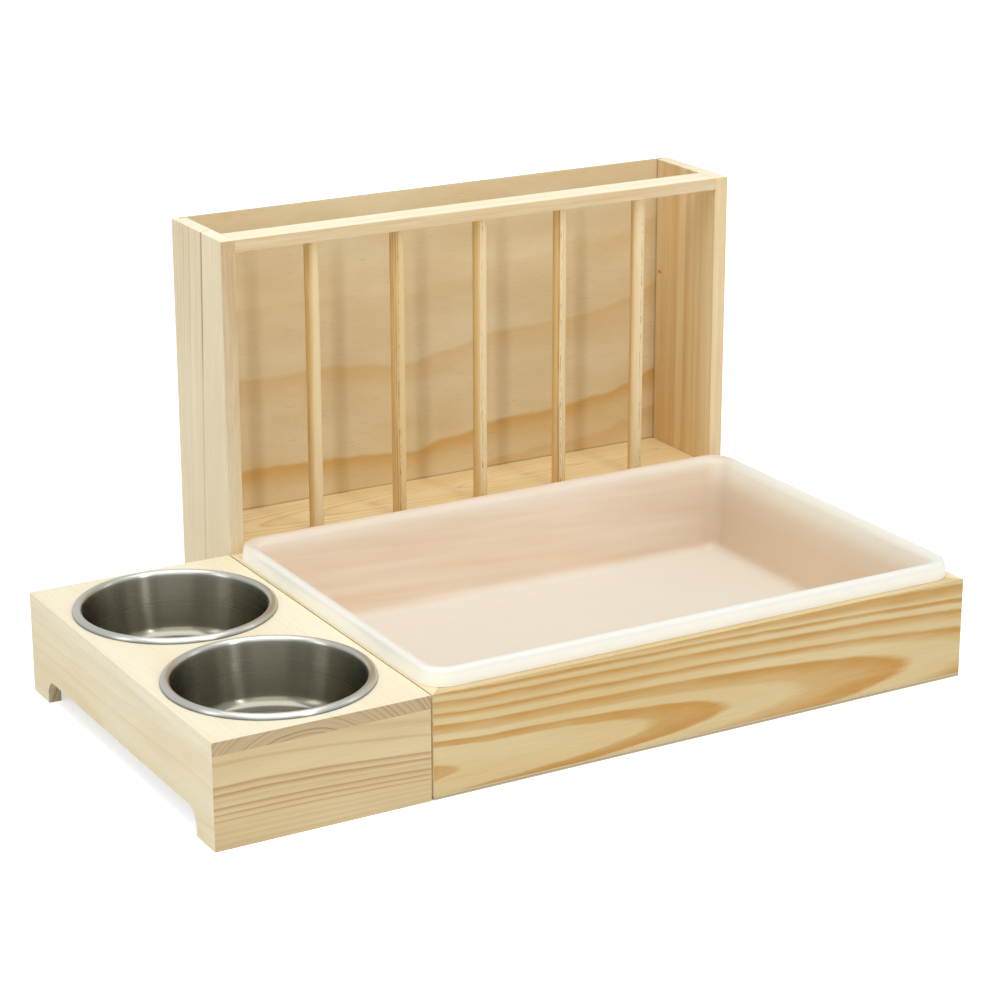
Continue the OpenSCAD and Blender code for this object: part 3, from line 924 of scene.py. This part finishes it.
BAR_WOODS = [
    dict(
        gold_and_lit_side=[(0, 1), (0.44, 0.8), (0.56, 0.2), (1, 0)],
        lines=[(0.08, 0), (0.15, 0.4), (0.26, 0.45), (0.34, 0)],
        flecks=2, lean=-0.22,
    ),
    dict(
        gold_and_lit_side=[(0, 1), (0.3, 0.9), (0.6, 0.7), (1, 0.3)],
        lines=[(0.16, 0), (0.25, 0.6), (0.33, 0), (0.42, 0.75), (0.5, 0), (0.57, 0.6), (0.63, 0)],
        flecks=0.6, lean=0,
    ),
    dict(
        gold_and_lit_side=[(0, 1), (0.4, 0.9), (0.5, 0.2), (0.8, 0), (1, 0)],
        lines=[(0, 0.3), (0.1, 0), (0.44, 0), (0.5, 0.4), (0.55, 0)],
        flecks=0.68, lean=0,
    ),
    dict(
        gold_and_lit_side=[(0, 1), (0.5, 0.8), (0.56, 0), (0.85, 0.1), (1, 0.6)],
        lines=[(0.3, 0), (0.4, 0.4), (0.48, 0.9), (0.54, 0), (0.7, 0), (0.76, 0.4), (0.8, 0)],
        flecks=0.62, lean=0.04,
    ),
    dict(
        gold_and_lit_side=[(0, 0.9), (0.2, 0.6), (0.35, 0.15), (1, 0)],
        lines=[(0.02, 0), (0.1, 0.45), (0.17, 0)],
        flecks=0.82, lean=0,
    ),
]
for i, wood in zip(bars, BAR_WOODS):
    low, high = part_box(f"hay_bar_{i}")
    centre = [(low[k] + high[k]) * 500 for k in range(3)]
    dress(bars[i].data, bar_wood(f"pine_bar_{i}", centre, **wood))

# %% [markdown]
# ## Plywood
#
# The panels' outer veneer is peeled off a turning log like paper off a roll. It shows
# very wide wavy bands instead of rings: each band starts sharply at its upper edge and
# fades downwards. Short thin flecks run along the grain. The panel's edge shows three
# layers, and the middle one is darker because it ends there.


# %% Veneer bands
SHEET_RUN = 440.0
BANDS_FROM = -82
BANDS_SPAN = 240
SHEET_THICK = 3.0
BAND_EDGE = [
    (0, 0.35), (0.1, 0.35), (0.23, 0.34), (0.34, 0.32), (0.45, 0.28), (0.53, 0.34), (0.65, 0.43),
    (0.78, 0.45), (0.87, 0.49), (0.94, 0.57), (1, 0.66),
]
BAND_TONES = [
    (0, 0.1), (0.11, 0.12), (0.165, 0.42), (0.195, 0.5), (0.21, 0.12), (0.25, 0.18), (0.29, 0.5),
    (0.325, 0.88), (0.334, 0.92), (0.347, 0.06), (0.45, 0.03), (0.56, 0.1), (0.62, 0.34),
    (0.655, 0.5), (0.672, 0.05), (0.82, 0.05), (0.9, 0.25), (0.918, 0.05), (1, 0.08),
]
PLY_LAYERS = [
    (0, "#D6C8AA"), (0.3, "#D0C0A0"), (0.36, "#AD9C7E"), (0.64, "#B3A284"), (0.7, "#D2C3A2"), (1, "#D6C8AA"),
]


def plywood(name, origin, across, thick_axis, contrast=0.9, shaded_seams=None):
    """Peeled veneer. origin is the panel's low corner in mm, and across its width and height axes.

    seams says where a board stands against the panel; along each, a fine dark line of painted shade lies on
    the panel's inner face."""
    recipe = Recipe(name)
    mm = in_mm(recipe, origin)
    parts = recipe.split(mm)
    u, v = parts[across[0]], parts[across[1]]
    flat = recipe.join(u, v, 0.0)
    edge = recipe.ramp(recipe.math("DIVIDE", u, SHEET_RUN), BAND_EDGE, "EASE")
    rise = recipe.math("SUBTRACT", v, recipe.math("MULTIPLY", edge, 100.0))
    rise = recipe.math("ADD", rise, sway_of(recipe, flat, (0.02, 0.03, 1), 9.0))
    rise = recipe.math("ADD", rise, sway_of(recipe, flat, (0.08, 0.2, 1), 3.0, 1))
    bands = recipe.math("MULTIPLY_ADD", rise, 1 / BANDS_SPAN, -BANDS_FROM / BANDS_SPAN)
    bands = recipe.ramp(bands, BAND_TONES)
    tone = recipe.noise(recipe.stretch(flat, (0.01, 0.03, 1)), 1.0)
    base = recipe.mix(recipe.ramp(tone, [(0.35, 0), (0.65, 1)]), paint("#E3D1AB"), paint("#DCC69A"))
    colour = recipe.mix(recipe.math("MULTIPLY", bands, contrast), base, paint("#D2A452"))
    fibre = recipe.noise(recipe.stretch(flat, (0.05, 1.3, 1)), 1.0, detail=3.0)
    fleck = recipe.noise(recipe.stretch(flat, (0.075, 1.2, 1)), 1.0, detail=1.0)
    fleck = recipe.ramp(fleck, [(0.68, 0), (0.76, 1)])
    shade = recipe.swing(fibre, 0.16)
    shade = recipe.math("SUBTRACT", shade, recipe.math("MULTIPLY", fleck, 0.22))
    depth = recipe.math("DIVIDE", parts[thick_axis], SHEET_THICK)
    inner_face = recipe.ramp(depth, [(0.1, 1), (0.3, 0)])
    # Painted shade: a fine dark line along each seam, in the inner corner where a board meets the panel.
    for line, place in zip((u, v), shaded_seams or ()):
        off = recipe.math("ABSOLUTE", recipe.math("SUBTRACT", line, place))
        dark = recipe.stripes(off, 4, [(0.48, 0.26), (1.6, 0)])
        shade = recipe.math("SUBTRACT", shade, recipe.math("MULTIPLY", dark, inner_face))
    colour = recipe.shaded(colour, shade)
    axis = [1.0 if i == thick_axis else 0.0 for i in range(3)]
    side = recipe.ramp(recipe.facing(axis), [(0.3, 1), (0.6, 0)])
    layers = recipe.ramp(depth, PLY_LAYERS)
    colour = recipe.mix(side, colour, layers)
    bump = recipe.bump(fibre, 0.1)
    return recipe.finish(Base_Color=colour, Roughness=0.55, Normal=bump, Specular_IOR_Level=0.3)


BACK_CORNER = (-136.25, 209, 80)
shaded_seams = (
    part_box("rack_right_side")[0].x * 1000 - BACK_CORNER[0],
    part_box("rack_floor")[1].z * 1000 - BACK_CORNER[2],
)
veneers = {
    "rack_back_panel": plywood("plywood_back", BACK_CORNER, (0, 2), 1, shaded_seams=shaded_seams),
    "base_panel": plywood("plywood_base", (FRONT_X, FRONT_Y, 0), (0, 1), 2, 0.5),
}
for node, material in veneers.items():
    dress(boards[node].data, material)

# %% [markdown]
# ## The milky tray
#
# The tray's plastic is thin and milky, and the light that comes through it is painted into
# its colour. Where air is behind it, above the frame, it is painted white. Where wood is
# close behind it, a warm pinkish tint with a few faint streaks stands for the wood shining
# through, and the floor is in between. The painted tint follows the height on the piece,
# with a soft change at the frame's top. The back rim is painted greyer and less white,
# partly as painted shade and partly as the rack's wood showing through, and the back right
# corner inside gets a painted shadow. The skirt outside is always white, and a faint glow
# on its left side stands in for the light that comes through the rim.


# %% Milky plastic
TALL = 100.0
SHADED_CORNER = (205, 136, 30)


def milky(name):
    recipe = Recipe(name)
    mm = in_mm(recipe, (mid[0] * 1000, mid[1] * 1000, 0))
    x, y, z = recipe.split(mm)
    # From here the colour paints the light that comes through the sheet: white where air is behind it, a warm
    # wood tint where wood is.
    tall = recipe.math("DIVIDE", z, TALL)
    drift = recipe.math("MULTIPLY_ADD", x, 0.06, z)
    streaks = recipe.noise(recipe.stretch(recipe.join(x, 0.0, drift), (0.005, 1, 0.09)), 1.0)
    wood = recipe.mix(recipe.ramp(streaks, [(0.35, 0), (0.65, 1)]), paint("#EFDDC7"), paint("#E9D0B5"))
    right = recipe.stripes(x, 250, [(200, 0), (215, 1)])
    back = recipe.stripes(y, 170, [(125.8, 0), (149.6, 1)])
    air = recipe.ramp(tall, [(0.74, 0), (0.82, 0.3), (0.88, 0.85), (0.91, 1)])
    more = recipe.ramp(tall, [(0.5, 0), (0.68, 0.2), (0.8, 0.75), (0.87, 1)])
    air = recipe.math("MAXIMUM", air, recipe.math("MULTIPLY", right, more))
    # At the back the sheet is painted less white: painted shade, and the rack's wood showing through.
    air = recipe.math("MULTIPLY", air, recipe.math("MULTIPLY_ADD", back, -0.4, 1.0))
    corner = CORNER_R[0] * 1000
    over = [
        recipe.math("SUBTRACT", recipe.math("ABSOLUTE", axis), (ends[1] - ends[0]) * 500 - corner)
        for axis, ends in ((x, TRAY_X), (y, TRAY_Y))
    ]
    beyond = [recipe.math("MAXIMUM", part, 0.0) for part in over]
    inset = recipe.math("SUBTRACT", corner, recipe.away(*beyond))
    inset = recipe.math("SUBTRACT", inset, recipe.math("MINIMUM", recipe.math("MAXIMUM", *over), 0.0))
    outside = recipe.stripes(inset, 10, [(3, 1), (5, 0)])
    air = recipe.math("MAXIMUM", air, recipe.math("MULTIPLY", outside, 0.95))
    wood = recipe.mix(right, wood, paint("#E5CFB4"))
    crest = recipe.ramp(tall, [(0.88, 0), (0.925, 1)])
    # The crest is painted whitest, and greyer at the back as painted shade.
    top = recipe.mix(back, paint("#EEEDE4"), paint("#E6DDD0"))
    colour = recipe.mix(air, wood, recipe.mix(crest, paint("#FBFAF0"), top))
    low = recipe.ramp(tall, [(0.125, 1), (0.19, 0)])
    colour = recipe.mix(low, colour, paint("#E8E2D5"))
    cloud = recipe.noise(recipe.stretch(mm, (0.02, 0.02, 0.02)), 1.0)
    shade = recipe.swing(cloud, 0.04)
    # Painted shadow: the inside of the back right corner is darkened.
    corner_shadow = recipe.stripes(recipe.distance(mm, SHADED_CORNER), 150, [(18, 1), (60, 0.6), (150, 0)])
    corner_shadow = recipe.math("MULTIPLY", corner_shadow, recipe.ramp(tall, [(0.12, 0), (0.2, 1), (0.6, 1), (0.88, 0)]))
    shade = recipe.math("MULTIPLY_ADD", corner_shadow, -0.13, shade)
    colour = recipe.shaded(colour, shade)
    # Painted glow on the skirt's left side, for the light that comes through the rim.
    through = recipe.math("MULTIPLY", recipe.math("MULTIPLY", recipe.towards(0, -1.0), outside), 0.14)
    grain = recipe.noise(recipe.stretch(mm, (0.3, 0.3, 0.3)), 1.0, detail=2.0)
    bump = recipe.bump(grain, 0.05)
    rough = recipe.math("MULTIPLY_ADD", cloud, 0.1, 0.3)
    return recipe.finish(
        Base_Color=colour, Roughness=rough, Normal=bump, Specular_IOR_Level=0.4,
        Emission_Color=paint("#FFF9E8"), Emission_Strength=through,
    )


dress(tray.data, milky("milky_tray"))

# %% [markdown]
# ## Brushed steel
#
# The bowls are turned while they are polished, so very fine lines run round them. Those
# lines spread a highlight up and down the wall into an upright streak. A radial tangent
# turns the shader's anisotropy along them. The wall and the floor get a darker base colour
# than the rolled rim: painted shade for the dark reflections inside a bowl. A thin dark
# line under the outside of the roll is a painted contact shadow.


# %% Steel
RIM_CREST = 73.0


def steel(name, centre):
    recipe = Recipe(name)
    mm = in_mm(recipe, centre)
    x, y, z = recipe.split(mm)
    reach = recipe.away(x, y)
    lines = recipe.noise(recipe.stretch(recipe.join(reach, 0.0, z), (3, 1, 3)), 1.0, detail=3.0)
    rim = recipe.stripes(reach, 100, [(69, 0), (70.5, 1)])
    # Painted shade: the wall and the floor get darker steel than the rim, for the dark reflections inside a
    # bowl.
    base = recipe.mix(rim, paint("#918E7F"), paint("#CBCCC6"))
    floor_part = recipe.stripes(z, 100, [(35.5, 1), (37.5, 0)])
    base = recipe.mix(floor_part, base, paint("#85837A"))
    shade = recipe.swing(lines, 0.12)
    # Painted contact shadow: a thin dark line under the outside of the roll.
    painted_contact_shadow = recipe.stripes(z, 100, [(80.5, 0.7), (82.2, 0)])
    outer = recipe.math("GREATER_THAN", reach, RIM_CREST)
    shade = recipe.math("SUBTRACT", shade, recipe.math("MULTIPLY", outer, painted_contact_shadow))
    colour = recipe.shaded(base, shade)
    dull = recipe.math("MULTIPLY_ADD", rim, 0.09, recipe.math("MULTIPLY_ADD", floor_part, -0.1, 0.22))
    rough = recipe.math("MULTIPLY_ADD", lines, 0.08, dull)
    bump = recipe.bump(lines, 0.04, 0.1 * MM)
    tangent = recipe.add("Tangent", direction_type="RADIAL", axis="Z")
    return recipe.finish(
        Base_Color=colour, Metallic=1.0, Roughness=rough, Normal=bump,
        Anisotropic=0.8, Anisotropic_Rotation=0.25, Tangent=tangent,
    )


for place, bowl in bowls.items():
    centre = (BOWL_X / MM, BOWL_YS[place] / MM, 0)
    dress(bowl.data, steel("steel_bowl_" + place, centre))

# %% [markdown]
# ## The pins that stay as CAD solids
#
# The glued wooden pins and the small steel pins have the right shape already, so their
# CAD nodes stay. They only get a finish: the pine recipe with fine rings for the wooden
# ones, and slightly dull, speckled steel for the panel pins.


# %% Pin finishes
def dull_steel(name):
    recipe = Recipe(name)
    mm = in_mm(recipe, (0, 0, 0))
    spots = recipe.noise(recipe.stretch(mm, (1.5, 1.5, 1.5)), 1.0, detail=3.0)
    colour = recipe.mix(recipe.ramp(spots, [(0.4, 0), (0.6, 1)]), paint("#A9AAAA"), paint("#868788"))
    rough = recipe.math("MULTIPLY_ADD", spots, 0.25, 0.3)
    return recipe.finish(Base_Color=colour, Metallic=1.0, Roughness=rough)


kept = {
    "stand_joint_pins": pine("pine_stand_pins", (0, 0, 1), (0, 0, 0), 2.0, 2, 0.5, 1.5),
    "rack_joint_pins": pine("pine_rack_pins", (1, 0, 0), (0, 0, 0), 2.0, 2, 0.5, 2.5),
    "base_panel_pins": dull_steel("steel_base_pins"),
    "back_panel_pins": dull_steel("steel_back_pins"),
}
for node, material in kept.items():
    dress(frame["nodes"][node].data, material)
print("kept nodes", sorted(kept))

# %% [markdown]
# ## Floor and background
#
# The photo is a cut-out on white. The world is plain white for the camera, and a soft
# even light for the rest. The floor catches a faint shadow: its diffuse part is lit like
# anything else, and a little glow that only the camera sees lifts it to white.

# %% Floor and world
only(None)
bpy.ops.mesh.primitive_plane_add(size=12, location=(0, 0, 0))
floor = settle(bpy.context.object, "studio_floor")
recipe = Recipe("floor_paper")
tree = recipe.tree
nodes = tree.nodes
speckle = recipe.noise(recipe.stretch(recipe.add("TexCoord", out="Object"), (8, 8, 8)), 1.0)
paper = recipe.mix(speckle, paint("#FFFFFF"), paint("#FDFDFC"))
recipe.finish(Base_Color=paper, Roughness=0.9, Specular_IOR_Level=0.0)
glow = nodes.new("ShaderNodeEmission")
path = nodes.new("ShaderNodeLightPath")
away = recipe.add("VectorMath", {0: recipe.add("TexCoord", out="Object")}, operation="LENGTH", out="Value")
glow_range = {"Value": away, "From Min": 0.6, "From Max": 3.0, "To Min": 0.6, "To Max": 0.78}
lift = recipe.add("MapRange", glow_range)
recipe.put(glow.inputs["Strength"], recipe.math("MULTIPLY", path.outputs["Is Camera Ray"], lift))
both = nodes.new("ShaderNodeAddShader")
tree.links.new(recipe.shader.outputs[0], both.inputs[0])
tree.links.new(glow.outputs[0], both.inputs[1])
tree.links.new(both.outputs[0], nodes["Material Output"].inputs["Surface"])
floor.data.materials.append(recipe.material)

world = bpy.data.worlds.new("white_studio")
bpy.context.scene.world = world
world.use_nodes = True
tree = world.node_tree
tree.nodes.clear()
AMBIENT = 0.52
path = tree.nodes.new("ShaderNodeLightPath")
seen = tree.nodes.new("ShaderNodeMath")
seen.operation = "MAXIMUM"
seen_too = tree.nodes.new("ShaderNodeMath")
seen_too.operation = "MAXIMUM"
level = tree.nodes.new("ShaderNodeMapRange")
level.inputs["To Min"].default_value = AMBIENT
level.inputs["To Max"].default_value = 1.0
sky = tree.nodes.new("ShaderNodeBackground")
out = tree.nodes.new("ShaderNodeOutputWorld")
tree.links.new(path.outputs["Is Camera Ray"], seen.inputs[0])
tree.links.new(path.outputs["Is Glossy Ray"], seen.inputs[1])
tree.links.new(seen.outputs[0], seen_too.inputs[0])
tree.links.new(path.outputs["Is Transmission Ray"], seen_too.inputs[1])
tree.links.new(seen_too.outputs[0], level.inputs["Value"])
tree.links.new(level.outputs[0], sky.inputs["Strength"])
tree.links.new(sky.outputs[0], out.inputs["Surface"])

# %% [markdown]
# ## Soft lights
#
# In the photo the tops are the brightest faces, the left faces are a little darker and
# the front faces darker again. So a large soft panel hangs above, a second one stands to
# the left, and a wide one in front fills the inside of the hay rack. The other two are
# narrow strips, because the brushed bowls draw each of them out into an upright streak.
# The wide front panel is hidden from reflections, so that it doesn't wash those streaks
# out. The steel card lights nothing but reflections: it is the pale studio wall that the
# far side of each bowl mirrors.


# %% Lamps
def panel(name, place, target, size, watts, mirrored=True, lights_wood=True):
    lamp = bpy.data.lights.new(name, "AREA")
    lamp.shape = "RECTANGLE"
    lamp.size, lamp.size_y = size
    lamp.energy = watts
    obj = bpy.data.objects.new(name, lamp)
    bpy.context.scene.collection.objects.link(obj)
    obj.location = place
    aim = Vector(target) - Vector(place)
    obj.rotation_euler = aim.to_track_quat("-Z", "Y").to_euler()
    obj.visible_glossy = mirrored
    obj.visible_diffuse = lights_wood
    return obj


panel("overhead_softbox", (-0.2, -0.4, 2.4), (0, 0, 0), (2.4, 2.4), 37)
panel("left_softbox", (-2.4, -0.12, 1.2), (0, 0, 0.1), (0.6, 1.7), 8.2)
panel("front_softbox", (0.1, -2.8, 1.2), (0, 0.1, 0.1), (1.8, 1.5), 3.2, mirrored=False)
panel("front_strip", (0.48, -2.6, 1.3), (-0.2, 0, 0.1), (0.22, 1.7), 12.4)
panel("steel_card", (-1.4, -2.63, 1.35), (-0.23, -0.05, 0.1), (2.4, 1.8), 13, lights_wood=False)
panel("right_strip", (2.2, -0.85, 1.2), (-0.2, 0, 0.1), (0.2, 1.6), 3.5)

# %% [markdown]
# ## The camera
#
# The camera stands to the left in front of the set, looks slightly down and uses a long
# lens, which keeps the boards' edges almost parallel. Its place was found by matching the
# corners of the boards.

# %% Camera
camera_data = bpy.data.cameras.new("photo_camera")
camera_data.lens = 103.403
camera_data.sensor_width = 36
camera_data.clip_end = 50
camera = bpy.data.objects.new("photo_camera", camera_data)
bpy.context.scene.collection.objects.link(camera)
camera.location = (-1.02352, -1.82955, 0.84125)
heading = Euler((0, 0, math.radians(-29.8705))).to_matrix()
tilt = Euler((math.radians(71.3922), 0, 0)).to_matrix()
roll = Euler((0, 0, math.radians(-0.0736))).to_matrix()
camera.rotation_euler = (heading @ tilt @ roll).to_euler()
bpy.context.scene.camera = camera
bpy.context.scene.view_settings.view_transform = "Standard"
